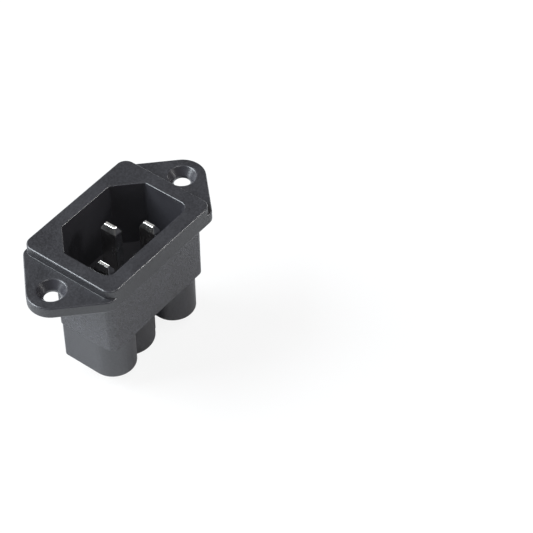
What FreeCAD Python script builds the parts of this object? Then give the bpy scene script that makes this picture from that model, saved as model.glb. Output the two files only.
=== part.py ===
"""Mains appliance inlet for a panel, with three screw terminals behind it.

Frame: X runs through the two mounting holes, +Y points to the side with the clamp screws, and +Z points
out of the inlet's face. The origin is the centre of the flange's rear face, which seats on the panel.
"""
import FreeCAD, Part
import math
import os

# Recess for the mating connector
recess_length = 24.6
recess_lower = 8.05
recess_upper = 8.35
recess_chamfer = 5.1
recess_lower_corner_radius = 2.0
recess_chamfer_corner_radius = 0.6
recess_depth = 16.5
recess_edge_radius = 0.2

# Body behind the panel
side_wall = 2.1
lower_wall = 1.6
upper_wall = 0.95
floor_wall = 2.55
chamfer_wall = 2.12
body_corner_radius = 1.6

# Flange and bezel
bezel_end_margin = 1.15
bezel_side_margin = 1.8
bezel_rise = 2.05
bezel_corner_radius = 2.2
bezel_edge_radius = 0.25
mounting_hole_radius = 1.7
countersink_radius = 3.0
countersink_depth = 1.7
ear_land = 1.45
ear_rim = 2.0
ear_thickness = 2.5
ear_edge_radius = 0.25
ear_pocket_rim = 1.1
ear_pocket_depth = 0.2
ear_pocket_body_gap = 0.5

# Contact blades
blade_pitch = 14.0
blade_row_offset = 4.0
blade_width = 4.0
blade_thickness = 2.0
blade_edge_bevel = 0.7
blade_side_bevel = 0.65
blade_bevel_length = 1.35
earth_tip_setback = 1.4
line_tip_setback = 4.25
blade_slot_clearance = 0.05

# Wire channels
channel_width = 7.7
channel_leg = 1.9
channel_floor = 1.4
channel_height = 7.0
channel_outer_radius = 3.0
channel_inner_radius = 1.4
channel_length = 7.6
channel_web = 1.5
channel_setback = 0.15
channel_clearance = 0.05

# Terminal towers
tower_side_wall = 0.925
tower_belly_wall = 1.5
tower_top_wall = 5.5
tower_edge_radius = 0.9
earth_tower_side_wall = 1.15
earth_tower_raise = 3.65
earth_tower_extra_length = 4.2
earth_belly_rise = 2.3
earth_shoulder_ledge = 0.35

# Clamp screws
screw_web_gap = 0.15
screw_well_clearance = 0.65
well_rim_width = 0.6
well_rim_depth = 0.15
screw_head_overhang = 0.05
screw_head_height = 1.7
screw_head_edge_radius = 0.45
screw_head_drop = 0.7
screw_thread_bite = 0.2
screw_thread_clearance = 0.05
screw_engagement = 1.55
slot_width = 0.75
slot_depth = 0.75
cross_width = 0.8
cross_length = 2.8
cross_depth = 1.25
cross_floor_share = 0.45
line_screw_turn = -66
neutral_screw_turn = -57
earth_screw_turn = -72

# Pressure plates
plate_side_gap = 0.35
plate_end_gap = 0.3
plate_thickness = 0.8
plate_play = 0.1
plate_drive = 2.2
rivet_radius = 0.9
rivet_clearance = 0.05
rivet_head_radius = 1.3
rivet_head_height = 0.3

# Places that follow from the sizes
V = FreeCAD.Vector
near = 1e-6
round_limit = 0.95
recess_half_length = recess_length / 2
body_half_length = recess_half_length + side_wall
tower_half_width = channel_width / 2 + tower_side_wall
earth_half_width = channel_width / 2 + earth_tower_side_wall
tower_x = body_half_length - tower_half_width
body_lower = recess_lower + lower_wall
body_upper = recess_upper + upper_wall
recess_chamfer_reach = recess_half_length + recess_upper - recess_chamfer
body_chamfer = body_half_length + body_upper - recess_chamfer_reach - math.sqrt(2) * chamfer_wall
bezel_half_length = body_half_length + bezel_end_margin
bezel_half_width = max(body_lower, body_upper) + bezel_side_margin
bezel_front = ear_thickness + bezel_rise
hole_x = bezel_half_length + ear_land + countersink_radius
ear_end_radius = countersink_radius + ear_rim
recess_floor = bezel_front - recess_depth
body_rear = recess_floor - floor_wall
tower_bottom = -body_lower
tower_rear = body_rear - channel_setback - channel_web - channel_length
channel_bottom = tower_bottom + tower_belly_wall
channel_lip = channel_bottom + channel_height
tower_top = channel_lip + tower_top_wall
wire_width = channel_width - 2 * channel_leg
screw_thread_radius = wire_width / 2 + screw_thread_bite
screw_head_radius = screw_thread_radius + screw_head_overhang
screw_well_radius = screw_head_radius + screw_well_clearance
screw_to_web = screw_thread_radius + screw_thread_clearance + screw_web_gap
blade_x = blade_pitch / 2
blade_y = blade_row_offset / 2


def moved(shape, x, y, z):
    """A copy of the shape, shifted."""
    copy = shape.copy()
    copy.translate(V(x, y, z))
    return copy


def box(x_range, y_range, z_range):
    """A box between two values on each axis."""
    size = [high - low for low, high in (x_range, y_range, z_range)]
    return Part.makeBox(*size, V(x_range[0], y_range[0], z_range[0]))


def closed_wire(corners):
    """Straight edges through the corners and back to the first."""
    return Part.makePolygon(corners + corners[:1])


def prism(points, z_low, z_high):
    """A closed outline of XY points, raised between two heights."""
    face = Part.Face(closed_wire([V(x, y, z_low) for x, y in points]))
    return face.extrude(V(0, 0, z_high - z_low))


def along_y(radius, x, z, y_low, y_high):
    """A cylinder along Y between two values."""
    return Part.makeCylinder(radius, y_high - y_low, V(x, y_low, z), V(0, 1, 0))


def upright_edges(shape, wanted):
    """The straight edges along Z whose XY place the test accepts."""
    found = []
    for edge in shape.Edges:
        bounds = edge.BoundBox
        along_z = bounds.XLength < near and bounds.YLength < near
        if along_z and wanted(bounds.Center.x, bounds.Center.y):
            found.append(edge)
    return found


def flat_edges(shape, z, wanted):
    """The edges that lie at one height and whose middle the test accepts."""
    found = []
    for edge in shape.Edges:
        bounds = edge.BoundBox
        at_height = abs(bounds.ZMin - z) < near and bounds.ZLength < near
        if at_height and wanted(bounds.Center.x, bounds.Center.y):
            found.append(edge)
    return found


def six_sided(half_length, lower, upper, chamfer, z_low, z_high):
    """A prism with its two +Y corners cut off, as the connector's shape is."""
    points = [(-half_length, -lower), (half_length, -lower), (half_length, upper - chamfer),
              (half_length - chamfer, upper), (chamfer - half_length, upper), (-half_length, upper - chamfer)]
    return prism(points, z_low, z_high)


def ear_tangent():
    """Where the side of an ear, drawn from the bezel's corner, touches the ear's round end."""
    reach_x = bezel_half_length - hole_x
    reach = math.hypot(reach_x, bezel_half_width)
    turn = math.atan2(bezel_half_width, reach_x) - math.acos(ear_end_radius / reach)
    return hole_x + ear_end_radius * math.cos(turn), ear_end_radius * math.sin(turn)


def flange_outline():
    """The flange seen from the front: the bezel's corners joined to the ears' round ends."""
    tangent_x, tangent_y = ear_tangent()
    tip_x = hole_x + ear_end_radius
    edges = []
    for side in (1, -1):
        corner = V(side * bezel_half_length, side * bezel_half_width, 0)
        upper = V(side * tangent_x, side * tangent_y, 0)
        lower = V(side * tangent_x, -side * tangent_y, 0)
        far_corner = V(side * bezel_half_length, -side * bezel_half_width, 0)
        next_corner = V(-side * bezel_half_length, -side * bezel_half_width, 0)
        edges.append(Part.makeLine(corner, upper))
        edges.append(Part.Arc(upper, V(side * tip_x, 0, 0), lower).toShape())
        edges.append(Part.makeLine(lower, far_corner))
        edges.append(Part.makeLine(far_corner, next_corner))
    return Part.Wire(edges)


def ear_plate(outline):
    """The flange at the thickness of its ears, rounded at the bezel's corners and along the ears' rims."""
    plate = outline.extrude(V(0, 0, ear_thickness))
    corners = upright_edges(plate, lambda x, y: abs(abs(y) - bezel_half_width) < near)
    plate = plate.makeFillet(bezel_corner_radius, corners)
    rims = flat_edges(plate, ear_thickness, lambda x, y: abs(y) < bezel_half_width - bezel_corner_radius)
    return plate.makeFillet(ear_edge_radius, rims)


def bezel():
    """The raised frame round the recess, as a block with rounded corners and front edges."""
    long_side = (-bezel_half_length, bezel_half_length)
    short_side = (-bezel_half_width, bezel_half_width)
    block = box(long_side, short_side, (0, bezel_front))
    block = block.makeFillet(bezel_corner_radius, upright_edges(block, lambda x, y: True))
    return block.makeFillet(bezel_edge_radius, flat_edges(block, bezel_front, lambda x, y: True))


def flange():
    """Ears and bezel, with countersunk holes and shallow pockets behind the ears."""
    outline = Part.Face(flange_outline())
    solid = ear_plate(outline).fuse(bezel()).removeSplitter()
    pocket = outline.makeOffset2D(-ear_pocket_rim).extrude(V(0, 0, ear_pocket_depth))
    pocket_start = body_half_length + ear_pocket_body_gap
    keep = box((-pocket_start, pocket_start), (-bezel_half_width, bezel_half_width), (0, ear_pocket_depth))
    solid = solid.cut(pocket.cut(keep))
    sink_low = ear_thickness - countersink_depth
    for x in (-hole_x, hole_x):
        hole = Part.makeCylinder(mounting_hole_radius, ear_thickness, V(x, 0, 0))
        sink = Part.makeCone(mounting_hole_radius, countersink_radius, countersink_depth, V(x, 0, sink_low))
        solid = solid.cut(hole.fuse(sink))
    return solid


def body():
    """The six-sided block that passes through the panel."""
    block = six_sided(body_half_length, body_lower, body_upper, body_chamfer, body_rear, ear_thickness)
    return block.makeFillet(body_corner_radius, upright_edges(block, lambda x, y: y < near - body_lower))


def recess():
    """The space that the mating connector fills."""
    space = six_sided(recess_half_length, recess_lower, recess_upper, recess_chamfer,
                      recess_floor, bezel_front)
    lower = upright_edges(space, lambda x, y: y < near - recess_lower)
    space = space.makeFillet(recess_lower_corner_radius, lower)
    upper = upright_edges(space, lambda x, y: y > recess_upper - recess_chamfer - near)
    return space.makeFillet(recess_chamfer_corner_radius, upper)


def tower_block(half_width, y_low, y_high, rear):
    """The straight part of a tower about x = 0, with the long edges of its screw face rounded."""
    block = box((-half_width, half_width), (y_low, y_high), (rear, body_rear))
    edges = []
    for edge in block.Edges:
        bounds = edge.BoundBox
        if bounds.YMin > y_high - near and bounds.XLength < near:
            edges.append(edge)
    return block.makeFillet(tower_edge_radius, edges)


def round_tower():
    """Tower of the line and neutral terminals, about x = 0: flat screw face, half round below."""
    middle = tower_bottom + tower_half_width
    belly = Part.makeCylinder(tower_half_width, body_rear - tower_rear, V(0, middle, tower_rear))
    return tower_block(tower_half_width, middle, tower_top, tower_rear).fuse(belly)


def earth_tower():
    """Middle tower: raised and longer, with square shoulders and a bellied underside."""
    rear = tower_rear - earth_tower_extra_length
    belly_low = tower_bottom + earth_tower_raise
    shoulder = belly_low + earth_belly_rise
    belly_half = earth_half_width - earth_shoulder_ledge
    left = V(-belly_half, shoulder, rear)
    right = V(belly_half, shoulder, rear)
    bow = Part.Arc(left, V(0, belly_low, rear), right).toShape()
    belly = Part.Face(Part.Wire([bow, Part.makeLine(right, left)])).extrude(V(0, 0, body_rear - rear))
    return tower_block(earth_half_width, shoulder, tower_top + earth_tower_raise, rear).fuse(belly)


def channel_block(width, bottom, top, radius, z_low, z_high):
    """A prism about x = 0 with its two lower corners rounded, as far as its width allows."""
    half = width / 2
    block = prism([(-half, bottom), (half, bottom), (half, top), (-half, top)], z_low, z_high)
    lower = upright_edges(block, lambda x, y: y < bottom + near)
    return block.makeFillet(min(radius, round_limit * half), lower)


def tapered(sections):
    """A solid through rectangles, each given by its corners."""
    return Part.makeLoft([closed_wire(corners) for corners in sections], True, True)


class Terminal:
    """One terminal: where its wire channel, blade and screw lie, and the solids that follow."""

    def __init__(self, name, x, blade_at, tip_setback, raised, extra_length, screw_turn):
        self.name = name
        self.x = x
        self.blade_x, self.blade_y = blade_at
        self.blade_tip = bezel_front - tip_setback
        self.screw_turn = screw_turn
        self.bottom = channel_bottom + raised
        self.lip = channel_lip + raised
        self.top = tower_top + raised
        self.rear = tower_rear - extra_length
        self.web_rear = self.rear + channel_length
        self.front = self.web_rear + channel_web
        self.screw_z = self.web_rear - screw_to_web
        self.head_top = self.top - screw_head_drop
        self.head_low = self.head_top - screw_head_height
        self.thread_end = self.lip - screw_engagement
        self.plate_top = self.thread_end - plate_play
        self.plate_low = self.plate_top - plate_thickness
        self.rivet_top = self.plate_low - plate_play

    def channel_room(self):
        """The window and chamber of the housing that the channel slides into from behind."""
        room = channel_block(channel_width + 2 * channel_clearance, self.bottom - channel_clearance,
                             self.lip + channel_clearance, channel_outer_radius + channel_clearance,
                             self.rear, self.front + channel_clearance)
        return moved(room, self.x, 0, 0)

    def blade_slot(self):
        """The slot through the recess floor that holds the blade."""
        half_x = blade_thickness / 2 + blade_slot_clearance
        half_y = blade_width / 2 + blade_slot_clearance
        return box((self.blade_x - half_x, self.blade_x + half_x),
                   (self.blade_y - half_y, self.blade_y + half_y), (self.front, recess_floor))

    def screw_well(self):
        """The round well over the screw, with a shallow ring round its mouth."""
        well = along_y(screw_well_radius, self.x, self.screw_z, self.lip, self.top)
        rim_radius = screw_well_radius + well_rim_width
        return well.fuse(along_y(rim_radius, self.x, self.screw_z, self.top - well_rim_depth, self.top))

    def blade(self):
        """Flat blade from the channel's web to its bevelled tip."""
        sections = []
        for bevel, z in ((0, self.front), (0, self.blade_tip - blade_bevel_length), (1, self.blade_tip)):
            half_x = blade_thickness / 2 - bevel * blade_side_bevel
            half_y = blade_width / 2 - bevel * blade_edge_bevel
            sections.append([V(self.blade_x + x_side * half_x, self.blade_y + y_side * half_y, z)
                             for x_side, y_side in ((-1, -1), (1, -1), (1, 1), (-1, 1))])
        return tapered(sections)

    def contact(self):
        """Blade, front web and folded wire channel as one piece, with room for the screw's thread."""
        outer = channel_block(channel_width, self.bottom, self.lip, channel_outer_radius,
                              self.rear, self.front)
        wire_room = channel_block(wire_width, self.bottom + channel_floor, self.lip, channel_inner_radius,
                                  self.rear, self.web_rear)
        channel = moved(outer.cut(wire_room), self.x, 0, 0)
        thread_low = self.thread_end - plate_drive - plate_play
        thread_room = along_y(screw_thread_radius + screw_thread_clearance, self.x, self.screw_z,
                              thread_low, self.lip)
        return channel.fuse(self.blade()).cut(thread_room).removeSplitter()

    def screw_drive(self):
        """Cross recess that narrows downwards, with a straight slot across the whole head."""
        head_radius = screw_head_radius
        slot_low = self.head_top - slot_depth
        cutter = box((-head_radius, head_radius), (slot_low, self.head_top),
                     (-slot_width / 2, slot_width / 2))
        for long_x in (True, False):
            sections = []
            for share, y in ((1.0, self.head_top), (cross_floor_share, self.head_top - cross_depth)):
                half_x, half_z = cross_length / 2 * share, cross_width / 2 * share
                if not long_x:
                    half_x, half_z = half_z, half_x
                sections.append([V(x_side * half_x, y, z_side * half_z)
                                 for x_side, z_side in ((-1, -1), (1, -1), (1, 1), (-1, 1))])
            cutter = cutter.fuse(tapered(sections))
        cutter.rotate(V(0, 0, 0), V(0, 1, 0), self.screw_turn)
        return cutter

    def screw(self):
        """Clamp screw along Y, with a riveted tip that holds its plate."""
        rivet_low = self.rivet_top - rivet_head_height
        profile = [(0, self.head_top), (screw_head_radius, self.head_top), (screw_head_radius, self.head_low),
                   (screw_thread_radius, self.head_low), (screw_thread_radius, self.thread_end),
                   (rivet_radius, self.thread_end), (rivet_radius, self.rivet_top),
                   (rivet_head_radius, self.rivet_top), (rivet_head_radius, rivet_low), (0, rivet_low)]
        section = Part.Face(closed_wire([V(radius, y, 0) for radius, y in profile]))
        solid = section.revolve(V(0, 0, 0), V(0, 1, 0), 360)
        crown = [edge for edge in solid.Edges
                 if edge.BoundBox.YMin > self.head_top - near and edge.BoundBox.ZLength > screw_head_radius]
        solid = solid.makeFillet(screw_head_edge_radius, crown).cut(self.screw_drive())
        return moved(solid, self.x, 0, self.screw_z)

    def pressure_plate(self):
        """Plate on the screw's tip, which stays square in the channel while the screw turns."""
        half_x = wire_width / 2 - plate_side_gap
        half_z = screw_to_web - plate_end_gap
        plate = box((self.x - half_x, self.x + half_x), (self.plate_low, self.plate_top),
                    (self.screw_z - half_z, self.screw_z + half_z))
        hole_radius = rivet_radius + rivet_clearance
        return plate.cut(along_y(hole_radius, self.x, self.screw_z, self.plate_low, self.plate_top))


terminals = [
    Terminal("line", -tower_x, (-blade_x, -blade_y), line_tip_setback, 0, 0, line_screw_turn),
    Terminal("neutral", tower_x, (blade_x, -blade_y), line_tip_setback, 0, 0, neutral_screw_turn),
    Terminal("earth", 0, (0, blade_y), earth_tip_setback, earth_tower_raise, earth_tower_extra_length,
             earth_screw_turn),
]


def housing():
    """The one black moulding: flange, body and towers, hollowed for the connector and the terminals."""
    solid = flange().fuse([body(), moved(round_tower(), -tower_x, 0, 0), moved(round_tower(), tower_x, 0, 0),
                           earth_tower()]).removeSplitter()
    solid = solid.cut(recess())
    mouth = flat_edges(solid, bezel_front, lambda x, y: abs(x) < recess_half_length + near
                       and -recess_lower - near < y < recess_upper + near)
    solid = solid.makeFillet(recess_edge_radius, mouth)
    for terminal in terminals:
        solid = solid.cut([terminal.channel_room(), terminal.blade_slot(), terminal.screw_well()])
    return solid.removeSplitter()


nodes = {"inlet_housing": housing()}
for terminal in terminals:
    nodes[terminal.name + "_contact"] = terminal.contact()
    nodes[terminal.name + "_screw"] = terminal.screw()
    nodes[terminal.name + "_pressure_plate"] = terminal.pressure_plate()

os.makedirs("parts", exist_ok=True)
for name, shape in nodes.items():
    print(name, "valid", shape.isValid(), "solids", len(shape.Solids), "volume", round(shape.Volume, 2))
    shape.exportStep("parts/" + name + ".step")
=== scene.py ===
"""A mains appliance inlet for a panel, seen from above its front left corner."""
import math

import bmesh
import bpy
import numpy as np
from mathutils import Matrix, Vector


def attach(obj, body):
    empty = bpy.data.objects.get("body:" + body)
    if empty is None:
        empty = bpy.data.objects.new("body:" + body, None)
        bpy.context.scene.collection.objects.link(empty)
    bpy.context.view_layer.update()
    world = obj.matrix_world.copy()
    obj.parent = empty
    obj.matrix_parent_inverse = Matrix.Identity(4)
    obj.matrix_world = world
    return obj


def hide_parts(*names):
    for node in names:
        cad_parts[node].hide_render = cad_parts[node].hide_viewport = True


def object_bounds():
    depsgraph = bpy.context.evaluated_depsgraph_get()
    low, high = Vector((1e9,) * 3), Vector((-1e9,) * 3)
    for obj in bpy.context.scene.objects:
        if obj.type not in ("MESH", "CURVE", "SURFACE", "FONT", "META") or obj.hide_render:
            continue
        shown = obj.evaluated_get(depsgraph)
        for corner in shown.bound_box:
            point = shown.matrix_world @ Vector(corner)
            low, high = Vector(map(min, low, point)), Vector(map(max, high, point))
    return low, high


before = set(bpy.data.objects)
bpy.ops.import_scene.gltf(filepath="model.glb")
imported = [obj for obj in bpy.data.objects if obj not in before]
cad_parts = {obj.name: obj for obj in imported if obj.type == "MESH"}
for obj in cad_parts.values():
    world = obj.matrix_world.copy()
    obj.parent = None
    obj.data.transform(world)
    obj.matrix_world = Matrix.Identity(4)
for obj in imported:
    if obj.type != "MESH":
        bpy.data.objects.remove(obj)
cad_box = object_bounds()
mm = 0.001

# Housing
# One black moulding in glass-filled polyamide: flange, recess, body and three terminal towers.
# The tool is spark eroded on the outside of the body, so its walls carry a fine grain, while the
# towers and the recess come off smoother cores.
housing_edge = 0.14 * mm
edge_segments = 2
sharp_angle = math.radians(35)
coplanar_angle = math.radians(0.3)
merge_distance = 0.001 * mm


def settle(shape, mesh):
    """Put an edited shape back into its mesh, mark its crisp edges and give each edge's signed turn."""
    shape.to_mesh(mesh)
    turns = np.array([edge.calc_face_angle_signed(0.0) for edge in shape.edges])
    shape.free()
    crisp = mesh.attributes.get("sharp_edge") or mesh.attributes.new("sharp_edge", "BOOLEAN", "EDGE")
    crisp.data.foreach_set("value", np.abs(turns) > sharp_angle)
    return turns


def merged_copy(node_name):
    """A copy of the node with doubled points merged and flat faces joined, and its edges' turns."""
    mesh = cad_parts[node_name].data.copy()
    mesh.materials.clear()
    shape = bmesh.new()
    shape.from_mesh(mesh)
    bmesh.ops.remove_doubles(shape, verts=shape.verts, dist=merge_distance)
    bmesh.ops.dissolve_limit(shape, angle_limit=coplanar_angle, verts=shape.verts, edges=shape.edges)
    return mesh, settle(shape, mesh)


def mesh_points(mesh):
    """The mesh's points as rows of X, Y and Z."""
    points = np.empty(3 * len(mesh.vertices))
    mesh.vertices.foreach_get("co", points)
    return points.reshape(-1, 3)


def edge_middles(mesh):
    """The middle of each edge, as the mean of its two end points."""
    ends = np.empty(2 * len(mesh.edges), dtype=np.int32)
    mesh.edges.foreach_get("vertices", ends)
    return mesh_points(mesh)[ends.reshape(-1, 2)].mean(axis=1)


def rounded_piece(name, mesh, weights, width, body):
    """A piece whose weighted edges are rounded off, smooth over gentle turns and crisp over the rest."""
    weight = mesh.attributes.new("bevel_weight_edge", "FLOAT", "EDGE")
    weight.data.foreach_set("value", weights.astype(np.float32))
    piece = bpy.data.objects.new(name, mesh)
    bpy.context.scene.collection.objects.link(piece)
    rounding = piece.modifiers.new("edges", "BEVEL")
    rounding.width = width
    rounding.segments = edge_segments
    rounding.limit_method = "WEIGHT"
    rounding.use_clamp_overlap = False
    shading = piece.modifiers.new("flat_faces_lead", "WEIGHTED_NORMAL")
    shading.keep_sharp = True
    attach(piece, body)
    return piece


def add_node(tree, kind, inputs=None, **settings):
    """A shader node with its settings, and its sockets filled with values or links."""
    made = tree.nodes.new(kind)
    for name, value in settings.items():
        setattr(made, name, value)
    for name, value in (inputs or {}).items():
        if isinstance(value, bpy.types.NodeSocket):
            tree.links.new(value, made.inputs[name])
        else:
            made.inputs[name].default_value = value
    return made


def maths(tree, operation, first, second=0.0):
    """The result of one sum on two values or sockets."""
    made = add_node(tree, "ShaderNodeMath", {0: first, 1: second}, operation=operation)
    return made.outputs[0]


def between(tree, value, low, high, out_low=0.0, out_high=1.0):
    """A value mapped from one range to another and held at its ends."""
    limits = {"Value": value, "From Min": low, "From Max": high, "To Min": out_low, "To Max": out_high}
    return add_node(tree, "ShaderNodeMapRange", limits).outputs["Result"]


def within(tree, value, low, high, soft):
    """One between two limits, falling to nothing over a short way outside each of them."""
    return maths(tree, "MULTIPLY", between(tree, value, low - soft, low),
                 between(tree, value, high, high + soft, 1.0, 0.0))


def by_region(tree, values, masks):
    """The first value, which gives way to each later one where the mask of its region is one."""
    result = values[0]
    for value, mask in zip(values[1:], masks):
        result = add_node(tree, "ShaderNodeMix", {0: mask, 2: result, 3: value}).outputs[0]
    return result


def blend_colour(tree, share, first, second):
    """A colour between two others."""
    return add_node(tree, "ShaderNodeMix", {0: share, 6: first, 7: second}, data_type="RGBA").outputs[2]


def new_group(name, inputs, outputs):
    """An empty shader group with its sockets, and the nodes that hold them inside."""
    group = bpy.data.node_groups.new(name, "ShaderNodeTree")
    for label, kind in inputs.items():
        group.interface.new_socket(label, in_out="INPUT", socket_type=kind)
    for label in outputs:
        group.interface.new_socket(label, in_out="OUTPUT", socket_type="NodeSocketFloat")
    return group, group.nodes.new("NodeGroupInput").outputs, group.nodes.new("NodeGroupOutput").inputs


def use_group(tree, group, place, per_metre):
    """A group placed in a material at its own scale."""
    made = add_node(tree, "ShaderNodeGroup", node_tree=group)
    tree.links.new(place, made.inputs["Place"])
    made.inputs["Per metre"].default_value = per_metre
    return made.outputs


def new_material(name):
    """A material with its principled shader and the piece's own coordinates."""
    material = bpy.data.materials.new(name)
    material.use_nodes = True
    tree = material.node_tree
    return material, tree, tree.nodes["Principled BSDF"], tree.nodes.new("ShaderNodeTexCoord").outputs


# Fine pits of an eroded tool face: two sizes of noise over small round cells.
cell_scale = 0.8
cell_share = 0.45
hill_scale = 0.75
hill_share = 0.7
fleck_range = (0.38, 0.62)
grain, grain_in, grain_out = new_group(
    "eroded_grain", {"Place": "NodeSocketVector", "Per metre": "NodeSocketFloat"}, ("Height", "Fleck and pit shade"))
fine_noise = add_node(grain, "ShaderNodeTexNoise", {
    "Vector": grain_in["Place"], "Scale": grain_in["Per metre"], "Detail": 3.0, "Roughness": 0.6})
cells = add_node(grain, "ShaderNodeTexVoronoi", {
    "Vector": grain_in["Place"], "Scale": maths(grain, "MULTIPLY", grain_in["Per metre"], cell_scale)})
hills = add_node(grain, "ShaderNodeTexNoise", {
    "Vector": grain_in["Place"], "Scale": maths(grain, "MULTIPLY", grain_in["Per metre"], hill_scale),
    "Detail": 2.0})
pitted = maths(grain, "ADD", fine_noise.outputs[0],
               maths(grain, "MULTIPLY", cells.outputs["Distance"], cell_share))
hilly = maths(grain, "ADD", pitted, maths(grain, "MULTIPLY", hills.outputs[0], hill_share))
grain.links.new(hilly, grain_out["Height"])
# The fleck rises with the larger hills, so the plastic can darken the low spots with it as painted shade.
grain.links.new(between(grain, hills.outputs[0], *fleck_range), grain_out["Fleck and pit shade"])

# Soft uneven sheen of a surface that has been handled and wiped.
patch_range = (0.3, 0.7)
mottle, mottle_in, mottle_out = new_group(
    "handled_sheen", {"Place": "NodeSocketVector", "Per metre": "NodeSocketFloat"}, ("Patch",))
cloud = add_node(mottle, "ShaderNodeTexNoise", {
    "Vector": mottle_in["Place"], "Scale": mottle_in["Per metre"], "Detail": 2.0, "Distortion": 0.4})
mottle.links.new(between(mottle, cloud.outputs[0], *patch_range), mottle_out["Patch"])

# Roundings between level and upright faces, where the normal leans: the grain there is rubbed smooth, and
# the plastic also makes them paler as a painted highlight.
off_upright = (0.06, 0.25)
off_level = (0.90, 0.99)
rubbed_and_highlit, rubbed_and_highlit_in, rubbed_and_highlit_out = new_group("rubbed_and_highlit_edges", {"Facing": "NodeSocketVector"}, ("Edge",))
facing = add_node(rubbed_and_highlit, "ShaderNodeSeparateXYZ", {0: rubbed_and_highlit_in["Facing"]}).outputs
lean = maths(rubbed_and_highlit, "ABSOLUTE", facing["Z"])
leaning = maths(rubbed_and_highlit, "MULTIPLY", between(rubbed_and_highlit, lean, *off_upright),
                between(rubbed_and_highlit, lean, *off_level, 1.0, 0.0))
rubbed_and_highlit.links.new(leaning, rubbed_and_highlit_out["Edge"])

# Where the moulding's regions end. Starts, ends, corners and reaches are the span over which one finish
# gives way to the next, and sides and heights are a lower and an upper limit.
body_start = (-0.5 * mm, -0.2 * mm)
tower_start = (-14.8 * mm, -14.5 * mm)
hole_x = 20 * mm
sink_reach = (3.12 * mm, 3.24 * mm)
recess_end = (12.3 * mm, 12.4 * mm)
recess_corner = (16.0 * mm, 16.2 * mm)
recess_sides = (-8.05 * mm, 8.35 * mm)
recess_heights = (-12.5 * mm, 4.35 * mm)
recess_soft = 0.1 * mm
foot_heights = (2.54 * mm, 2.9 * mm)
foot_soft = 0.02 * mm
plastic, tree, shader, coordinates = new_material("moulded_plastic")
place = coordinates["Object"]
parts = add_node(tree, "ShaderNodeSeparateXYZ", {0: place}).outputs
below_flange = between(tree, parts["Z"], *body_start, 1.0, 0.0)
on_tower = between(tree, parts["Z"], *tower_start, 1.0, 0.0)
far_x = maths(tree, "ABSOLUTE", parts["X"])
from_hole = maths(tree, "SUBTRACT", far_x, hole_x)
from_axis = maths(tree, "SQRT", maths(tree, "ADD", maths(tree, "POWER", from_hole, 2.0),
                                      maths(tree, "POWER", parts["Y"], 2.0)))
in_sink = between(tree, from_axis, *sink_reach, 1.0, 0.0)
in_recess = maths(tree, "MULTIPLY", between(tree, far_x, *recess_end, 1.0, 0.0),
                  within(tree, parts["Y"], *recess_sides, recess_soft))
in_recess = maths(tree, "MULTIPLY", in_recess, within(tree, parts["Z"], *recess_heights, recess_soft))
in_recess = maths(tree, "MULTIPLY", in_recess, between(
    tree, maths(tree, "ADD", far_x, parts["Y"]), *recess_corner, 1.0, 0.0))
in_foot = within(tree, parts["Z"], *foot_heights, foot_soft)
regions = (below_flange, on_tower, maths(tree, "MAXIMUM", in_sink, in_recess))

# The tool's finish by region: coarse on the body's walls, finer on the flange, nearly smooth on the
# towers, the recess and the two countersinks. The paleness by region is painted light on one black
# plastic: the body's walls are paler to stand in for light thrown up from the floor, the towers somewhat
# paler, and the recess and countersinks paler to stand in for fill light in those hollows, while the
# flange stays darkest. Values run from flange to body, towers and smooth cores.
plastic_dark = (0.0100, 0.0095, 0.0122, 1)
plastic_light = (0.0780, 0.0760, 0.0880, 1)
plastic_specular = 0.75
skin_per_metre = 3000
plastic_sheen_per_metre = 160
grain_by_region = (0.22, 1.1, 0.2, 0.04)
painted_light_tone_by_region = (0.10, 0.42, 0.27, 0.36)
grain_on_edges = 0.15
grain_depth = 0.16 * mm
pit_shade_tone = 0.7
patch_tone = 0.05
# How much paler the roundings are: a painted highlight of the lamps along the edges.
edge_highlight_tone = 0.36
fleck_gloss = 0.2
patch_gloss = (0.44, 0.52)
edge_gloss = 0.26
sink_gloss = 0.2
skin = use_group(tree, grain, place, skin_per_metre)
sheen = use_group(tree, mottle, place, plastic_sheen_per_metre)
worn_and_highlit = add_node(tree, "ShaderNodeGroup", node_tree=rubbed_and_highlit)
tree.links.new(coordinates["Normal"], worn_and_highlit.inputs["Facing"])
edge = maths(tree, "MULTIPLY", worn_and_highlit.outputs["Edge"],
             maths(tree, "SUBTRACT", 1.0, maths(tree, "MAXIMUM", in_foot, in_sink)))
coarse = maths(tree, "MULTIPLY", by_region(tree, grain_by_region, regions),
               between(tree, edge, 0, 1, 1.0, grain_on_edges))
# The fleck darkens the grain's low spots as painted shade in its pits, and also varies its gloss.
fleck_and_pit_shade = maths(tree, "MULTIPLY", maths(tree, "SUBTRACT", skin["Fleck and pit shade"], 0.5), coarse)
# Each region's paleness, which paints the light that region gets, plus the grain's fleck.
tone = maths(tree, "ADD", by_region(tree, painted_light_tone_by_region, regions),
             maths(tree, "MULTIPLY", fleck_and_pit_shade, pit_shade_tone))
tone = maths(tree, "ADD", tone, between(tree, sheen["Patch"], 0, 1, -patch_tone, patch_tone))
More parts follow.
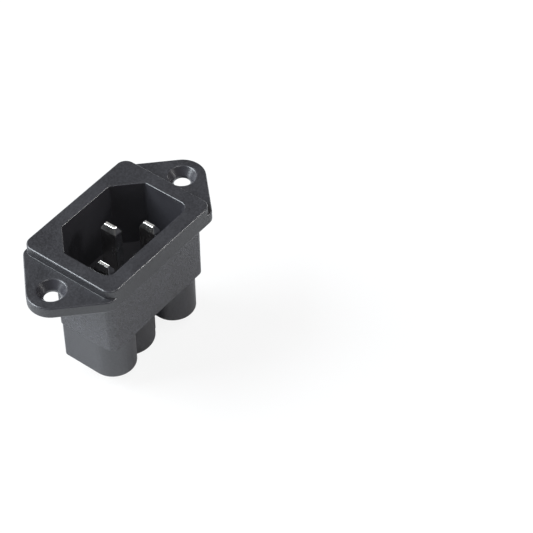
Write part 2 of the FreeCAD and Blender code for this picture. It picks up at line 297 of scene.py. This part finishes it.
# Paint a highlight along the roundings by making them paler; the bezel foot and the countersinks are left
# out.
tone = maths(tree, "ADD", tone, maths(tree, "MULTIPLY", edge, edge_highlight_tone))
tree.links.new(blend_colour(tree, tone, plastic_dark, plastic_light), shader.inputs["Base Color"])
gloss = maths(tree, "ADD", maths(tree, "MULTIPLY", fleck_and_pit_shade, fleck_gloss),
              between(tree, sheen["Patch"], 0, 1, *patch_gloss))
gloss = maths(tree, "SUBTRACT", gloss, maths(tree, "MULTIPLY", edge, edge_gloss))
gloss = maths(tree, "SUBTRACT", gloss, maths(tree, "MULTIPLY", in_sink, sink_gloss))
tree.links.new(gloss, shader.inputs["Roughness"])
relief = maths(tree, "MULTIPLY", skin["Height"], coarse)
bump = add_node(tree, "ShaderNodeBump", {"Strength": 1.0, "Distance": grain_depth, "Height": relief})
tree.links.new(bump.outputs[0], shader.inputs["Normal"])
shader.inputs["Specular IOR Level"].default_value = plastic_specular

# Each terminal in millimetres: tower middle, channel bottom, channel lip, tower top and tower rear.
terminals = {
    "line": (-9.625, -8.15, -1.15, 4.35, -23.75),
    "neutral": (9.625, -8.15, -1.15, 4.35, -23.75),
    "earth": (0.0, -4.5, 2.5, 8.0, -27.95),
}

# Edges left sharp, in millimetres: inside the rooms for the channels, where the contacts fit, and on
# the step between body and towers. The rims of the screw wells get half the rounding.
room_half_width = 4.0
room_depth = (0.01, 9.2)
edge_margin = 0.2
well_from_rear = 5.25
well_reach = 3.5
well_share = 0.5
step_z = -14.5
step_margin = 0.05
step_top = 4.12
mesh, turns = merged_copy("inlet_housing")
weights = (turns > sharp_angle).astype(float)
edge_x, edge_y, edge_z = edge_middles(mesh).T / mm
for tower_x, low, lip, top, rear in terminals.values():
    across = np.abs(edge_x - tower_x)
    in_room = (across < room_half_width) & (edge_y > low - edge_margin) & (edge_y < lip + edge_margin)
    weights[in_room & (edge_z > rear + room_depth[0]) & (edge_z < rear + room_depth[1])] = 0
    at_well = np.hypot(across, edge_z - rear - well_from_rear) < well_reach
    weights[at_well & (edge_y > top - edge_margin)] *= well_share
weights[(np.abs(edge_z - step_z) < step_margin) & (edge_y < step_top)] = 0
housing = rounded_piece("moulded_housing", mesh, weights, housing_edge, "inlet")
housing.data.materials.append(plastic)
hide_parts("inlet_housing")

# Bezel foot
# The small hollow rounding where the bezel's two end walls rise from the ears, part of the same
# moulding. It follows the bezel's corners and runs out where the ear narrows to nothing.
bezel_end = 15.55 * mm
bezel_side = 11.45 * mm
bezel_corner = 2.2 * mm
ear_front = 2.5 * mm
foot_radius = 0.2 * mm
sunk_depth = 0.03 * mm
foot_end_degrees = 62
foot_full_degrees = 48
foot_least_share = 0.02
foot_stations = 24
foot_arc_points = 10


def closed_piece(name, points, faces, material, body):
    """A closed shell: seams and poles merged, faces turned outwards and gentle turns smooth."""
    mesh = bpy.data.meshes.new(name)
    mesh.from_pydata(points.reshape(-1, 3), [], faces, shade_flat=False)
    shape = bmesh.new()
    shape.from_mesh(mesh)
    bmesh.ops.remove_doubles(shape, verts=shape.verts, dist=merge_distance)
    bmesh.ops.recalc_face_normals(shape, faces=shape.faces)
    settle(shape, mesh)
    mesh.materials.append(material)
    piece = bpy.data.objects.new(name, mesh)
    bpy.context.scene.collection.objects.link(piece)
    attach(piece, body)
    return piece


def ring_faces(rows, sides):
    """Faces between neighbouring rows of a grid whose sides close on themselves."""
    index = np.arange(rows * sides).reshape(rows, sides)
    after = np.roll(index, -1, axis=1)
    return np.stack([index[:-1], after[:-1], after[1:], index[1:]], axis=-1).reshape(-1, 4).tolist()


def swept(places, outwards, profile):
    """A profile carried along a path: at each station its first value goes outwards and its second
    along Z from the station's place. The two end profiles become caps."""
    rows, sides = profile.shape[:2]
    points = places[:, None, :] + outwards[:, None, :] * profile[:, :, :1]
    points[:, :, 2] += profile[:, :, 1]
    last = (rows - 1) * sides
    return points, ring_faces(rows, sides) + [list(range(sides)), list(range(last, last + sides))]


def level_turn(turn, way=1):
    """Level unit vectors at the given turns from X, or from -X where the way is -1."""
    return np.stack([way * np.cos(turn), np.sin(turn), np.zeros(len(turn))], axis=-1)


corner_turn = np.radians(np.linspace(foot_end_degrees, 0, foot_stations))
foot_turn = np.concatenate([corner_turn, -corner_turn[::-1]])
corner_y = np.repeat([1.0, -1.0], foot_stations) * (bezel_side - bezel_corner)
from_end = foot_end_degrees - np.degrees(np.abs(foot_turn))
fade = np.clip(from_end / (foot_end_degrees - foot_full_degrees), foot_least_share, 1)
radii = foot_radius * fade ** 2 * (3 - 2 * fade)
arc = np.radians(np.linspace(0, 90, foot_arc_points))
hollow = np.stack([1 - np.cos(arc), 1 - np.sin(arc)], axis=-1) * radii[:, None, None]
buried = np.full((len(foot_turn), 1, 2), -sunk_depth)
foot_profile = np.concatenate([hollow, buried], axis=1)
for name, way in (("left_bezel_foot", -1), ("right_bezel_foot", 1)):
    outwards = level_turn(foot_turn, way)
    corner_x = np.full(len(foot_turn), way * (bezel_end - bezel_corner))
    centres = np.stack([corner_x, corner_y, np.full(len(foot_turn), ear_front)], axis=-1)
    points, faces = swept(centres + bezel_corner * outwards, outwards, foot_profile)
    closed_piece(name, points, faces, plastic, "inlet")

# Moulded marks
# Generic terminal letters and the round witness of an ejector pin, cut into the tool, so they stand
# up a little from the rear faces of the line and neutral towers.
mark_half_width = 0.16 * mm
mark_rise = 0.07 * mm
letter_height = 2.0 * mm
letter_width = 1.3 * mm
letter_y = 2.2 * mm
letter_shift = {"line": 3.0 * mm, "neutral": -3.0 * mm}
letters = {"line": ((0, 1), (0, 0), (1, 0)), "neutral": ((0, 0), (0, 1), (1, 0), (1, 1))}
pin_radius = 1.75 * mm
pin_y = 1.35 * mm
pin_bead_share = 0.6
pin_stations = 49
bead_points = 9
least_bend = 0.8
bead_arc = np.radians(np.linspace(0, 180, bead_points))
bead = np.stack([np.cos(bead_arc) * mark_half_width, -np.sin(bead_arc) * mark_rise], axis=-1)
bead = np.concatenate([bead, bead[[-1, 0]] * [1, 0] + [0, sunk_depth]])


def path_normals(path):
    """Level normals of a path, leaning half way at its bends and lengthened there to keep its width."""
    runs = np.diff(path, axis=0)
    across = np.stack([-runs[:, 1], runs[:, 0], runs[:, 2]], axis=-1)
    across /= np.linalg.norm(across, axis=1)[:, None]
    leaning = np.concatenate([across[:1], across[:-1] + across[1:], across[-1:]])
    bend = np.maximum((leaning ** 2).sum(axis=1), least_bend)
    return leaning * np.concatenate([[1], 2 / bend[1:-1], [1]])[:, None]


for name, strokes in letters.items():
    tower_x, low, lip, top, rear = np.array(terminals[name]) * mm
    strokes = np.array(strokes, dtype=float)
    letter = np.empty((len(strokes), 3))
    letter[:, 0] = tower_x - letter_shift[name] - (strokes[:, 0] - 0.5) * letter_width
    letter[:, 1] = letter_y + (strokes[:, 1] - 0.5) * letter_height
    letter[:, 2] = rear
    points, faces = swept(letter, path_normals(letter), np.tile(bead, (len(letter), 1, 1)))
    closed_piece(name + "_letter", points, faces, plastic, "inlet")
    # The witness is a ring that closes on itself, so it goes without the two caps.
    outwards = level_turn(np.linspace(0, 2 * math.pi, pin_stations))
    pin_bead = np.tile(bead * pin_bead_share, (pin_stations, 1, 1))
    points, faces = swept(np.array([tower_x, pin_y, rear]) + pin_radius * outwards, outwards, pin_bead)
    closed_piece(name + "_pin_witness", points, faces[:-2], plastic, "inlet")

# Contacts
# Each is brass strip, stamped with a flat blade in front and folded into a thick U behind, then
# nickel plated. It slides into its tower from the rear.
contact_edge = 0.12 * mm
contact_sharp_angle = math.radians(12)
nickel_dark = (0.63, 0.62, 0.60, 1)
nickel_light = (0.78, 0.77, 0.75, 1)
nickel_sheen_per_metre = 420
drawn_per_metre = (9000, 9000, 250)
drawn_range = (0.3, 0.7)
drawn_gloss = (0.16, 0.26)
drawn_depth = 0.004 * mm
drawn_strength = 0.25
nickel_patch_gloss = 0.03
nickel, tree, shader, coordinates = new_material("nickel_plate")
place = coordinates["Object"]
drawn = add_node(tree, "ShaderNodeMapping", {"Vector": place, "Scale": drawn_per_metre})
lines = add_node(tree, "ShaderNodeTexNoise", {"Vector": drawn.outputs[0], "Scale": 1.0, "Detail": 2.0})
sheen = use_group(tree, mottle, place, nickel_sheen_per_metre)
tree.links.new(blend_colour(tree, sheen["Patch"], nickel_dark, nickel_light), shader.inputs["Base Color"])
gloss = maths(tree, "ADD", between(tree, lines.outputs[0], *drawn_range, *drawn_gloss),
              between(tree, sheen["Patch"], 0, 1, -nickel_patch_gloss, nickel_patch_gloss))
tree.links.new(gloss, shader.inputs["Roughness"])
bump = add_node(tree, "ShaderNodeBump", {
    "Strength": drawn_strength, "Distance": drawn_depth, "Height": lines.outputs[0]})
tree.links.new(bump.outputs[0], shader.inputs["Normal"])
shader.inputs["Metallic"].default_value = 1.0
for name in terminals:
    mesh, turns = merged_copy(name + "_contact")
    contact = rounded_piece(name + "_blade_and_channel", mesh, turns > contact_sharp_angle, contact_edge,
                            "inlet")
    contact.data.materials.append(nickel)
    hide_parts(name + "_contact")

# Clamp screws and pressure plates
# Steel, zinc plated and lightly passivated. The screw has a slotted cross head, and its tip is
# riveted over a loose square plate.
zinc_dark = (0.50, 0.51, 0.53, 1)
zinc_light = (0.64, 0.65, 0.67, 1)
zinc_sheen_per_metre = 900
zinc_skin_per_metre = 9000
zinc_gloss = (0.22, 0.36)
zinc_depth = 0.004 * mm
zinc_strength = 0.2
zinc, tree, shader, coordinates = new_material("zinc_plate")
place = coordinates["Object"]
sheen = use_group(tree, mottle, place, zinc_sheen_per_metre)
skin = use_group(tree, grain, place, zinc_skin_per_metre)
tree.links.new(blend_colour(tree, sheen["Patch"], zinc_dark, zinc_light), shader.inputs["Base Color"])
tree.links.new(between(tree, sheen["Patch"], 0, 1, *zinc_gloss), shader.inputs["Roughness"])
bump = add_node(tree, "ShaderNodeBump", {
    "Strength": zinc_strength, "Distance": zinc_depth, "Height": skin["Height"]})
tree.links.new(bump.outputs[0], shader.inputs["Normal"])
shader.inputs["Metallic"].default_value = 1.0

# Each screw in millimetres: its axis along Y at X and Z, the underside of its head and its thread's end.
screws = {
    "line": (-9.625, -18.5, 1.95, -2.7),
    "neutral": (9.625, -18.5, 1.95, -2.7),
    "earth": (0.0, -22.7, 5.6, 0.95),
}
screw_edge = 0.05 * mm
plate_edge = 0.10 * mm
shank_radius = 2.15 * mm
shank_margin = 0.02 * mm
head_margin = 0.01 * mm
core_radius = 1.60 * mm
root_radius = 1.78 * mm
crest_radius = 2.13 * mm
tip_radius = 1.55 * mm
thread_pitch = 0.70 * mm
thread_start = 0.25 * mm
thread_past_head = 0.1 * mm
tip_start = 0.05 * mm
ridge_top = 1.25
ridge_slope = 3
thread_sides = 48
thread_rows = 100


def thin_shank(mesh, axis_x, axis_z, head_low):
    """Draw the points of the plain shank in to the thread's core; the rest keep their place."""
    points = mesh_points(mesh)
    axis = np.array([axis_x, axis_z])
    level = points[:, [0, 2]] - axis
    radius = np.hypot(level[:, 0], level[:, 1])
    on_shank = (np.abs(radius - shank_radius) < shank_margin) & (points[:, 1] < head_low + head_margin)
    scale = np.ones(len(points))
    scale[on_shank] = core_radius / radius[on_shank]
    points[:, [0, 2]] = axis + level * scale[:, None]
    mesh.vertices.foreach_set("co", points.ravel())


def thread_shell(axis_x, axis_z, head_low, end):
    """A right-hand thread as a grid of height and angle. The radius rises from root to crest and back
    once a pitch as the height runs ahead of the angle, fades out at both ends, and closes on the axis."""
    angle = np.linspace(0, 2 * math.pi, thread_sides, endpoint=False)
    height = np.linspace(end + thread_start, head_low + thread_past_head, thread_rows)
    phase = height[:, None] / thread_pitch - angle / (2 * math.pi)
    ridge = np.clip(ridge_top - ridge_slope * np.abs(phase - np.floor(phase) - 0.5), 0, 1)
    fade = np.clip((height - height[0]) / thread_pitch, 0, 1)
    fade = fade * np.clip((height[-1] - height) / thread_pitch, 0, 1)
    radius = root_radius + (crest_radius - root_radius) * ridge * fade[:, None]
    tip = np.full((1, thread_sides), tip_radius)
    radius = np.concatenate([0 * tip, tip, radius, 0 * tip])
    height = np.concatenate([[end + tip_start] * 2, height, height[-1:]])
    grid = np.stack([axis_x + radius * np.sin(angle), np.broadcast_to(height[:, None], radius.shape),
                     axis_z + radius * np.cos(angle)], axis=-1)
    return grid, ring_faces(*radius.shape)


for name, screw_sizes in screws.items():
    axis_x, axis_z, head_low, end = np.array(screw_sizes) * mm
    mesh, turns = merged_copy(name + "_screw")
    thin_shank(mesh, axis_x, axis_z, head_low)
    screw = rounded_piece(name + "_clamp_screw", mesh, turns > sharp_angle, screw_edge,
                          name + "_screw")
    screw.data.materials.append(zinc)
    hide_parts(name + "_screw")
    points, faces = thread_shell(axis_x, axis_z, head_low, end)
    closed_piece(name + "_screw_thread", points, faces, zinc, name + "_screw")
    mesh, turns = merged_copy(name + "_pressure_plate")
    plate = rounded_piece(name + "_clamp_plate", mesh, turns > sharp_angle, plate_edge,
                          name + "_plate")
    plate.data.materials.append(zinc)
    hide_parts(name + "_pressure_plate")

# Floor, lights and camera
# A pale sweep under plain soft studio light: a large soft box high behind on the left, a small one in
# front on the right, one high over the front, two low cards, a faint box behind and a dim surround.
floor_z = cad_box[0].z
floor_reach = 3.0
floor_colour = (0.90, 0.90, 0.90, 1)
floor_roughness = 0.9
floor_glow = 0.86
floor_glow_mirrored = 0.05
surround_level = 0.12
white = (1, 1, 1, 1)
corners = [(-floor_reach, -floor_reach, floor_z), (floor_reach, -floor_reach, floor_z),
           (floor_reach, floor_reach, floor_z), (-floor_reach, floor_reach, floor_z)]
floor_mesh = bpy.data.meshes.new("floor")
floor_mesh.from_pydata(corners, [], [(0, 1, 2, 3)])
floor = bpy.data.objects.new("floor", floor_mesh)
bpy.context.scene.collection.objects.link(floor)
floor_paint, tree, shader, coordinates = new_material("pale_floor")
shader.inputs["Base Color"].default_value = floor_colour
shader.inputs["Roughness"].default_value = floor_roughness
shader.inputs["Specular IOR Level"].default_value = 0.0
ray = tree.nodes.new("ShaderNodeLightPath").outputs
mirrored = maths(tree, "MAXIMUM", ray["Is Glossy Ray"], ray["Is Transmission Ray"])
glow_share = maths(tree, "MAXIMUM", maths(tree, "MULTIPLY", ray["Is Camera Ray"], floor_glow),
                   maths(tree, "MULTIPLY", mirrored, floor_glow_mirrored))
glow = add_node(tree, "ShaderNodeEmission", {"Color": white, "Strength": 1.0})
mixed = add_node(tree, "ShaderNodeMixShader", {0: glow_share, 1: shader.outputs[0], 2: glow.outputs[0]})
tree.links.new(mixed.outputs[0], tree.nodes["Material Output"].inputs["Surface"])
floor_mesh.materials.append(floor_paint)

# The surround is dim as a light and white to the camera.
world = bpy.data.worlds.new("surround")
world.use_nodes = True
bpy.context.scene.world = world
tree = world.node_tree
ray = tree.nodes.new("ShaderNodeLightPath").outputs
strength = between(tree, ray["Is Camera Ray"], 0, 1, surround_level, 1.0)
surround = add_node(tree, "ShaderNodeBackground", {"Color": white, "Strength": strength})
tree.links.new(surround.outputs[0], tree.nodes["World Output"].inputs["Surface"])


def soft_box(name, place, size, level, tint=(1.0, 1.0, 1.0)):
    """A square lamp aimed at the object, bright enough to give the level it is asked for."""
    lamp = bpy.data.lights.new(name, "AREA")
    lamp.size = size
    lamp.color = tint
    lamp.energy = math.pi ** 2 * place.length_squared * level
    box = bpy.data.objects.new(name, lamp)
    box.location = place
    box.rotation_euler = (-place).to_track_quat("-Z", "Y").to_euler()
    bpy.context.scene.collection.objects.link(box)


soft_box("left_soft_box", Vector((-0.46, 0.62, 0.63)), size=0.7, level=1.90, tint=(0.93, 1.0, 1.05))
soft_box("right_soft_box", Vector((0.503, -0.722, 0.478)), size=0.16, level=0.22)
soft_box("front_soft_box", Vector((0.0, -0.40, 0.92)), size=0.5, level=0.28)
soft_box("far_right_card", Vector((1.0, -0.05, 0.06)), size=0.3, level=0.1)
soft_box("far_rear_card", Vector((0.0, 1.0, 0.08)), size=0.3, level=0.1)
soft_box("rear_soft_box", Vector((0.56, 0.53, 0.80)), size=0.3, level=0.012)

camera_place = Vector((-0.202667, -0.192697, 0.280809))
camera_aim = Vector((0.0194677, -0.0219467, -0.0100158))
camera_roll = math.radians(-0.48)
camera_data = bpy.data.cameras.new("camera")
camera_data.lens = 134.188
camera_data.sensor_width = 36.0
camera = bpy.data.objects.new("camera", camera_data)
level_view = (camera_aim - camera_place).to_track_quat("-Z", "Y").to_matrix()
camera.rotation_euler = (level_view @ Matrix.Rotation(camera_roll, 3, "Z")).to_euler()
camera.location = camera_place
bpy.context.scene.collection.objects.link(camera)
bpy.context.scene.camera = camera
bpy.context.scene.view_settings.view_transform = "Standard"
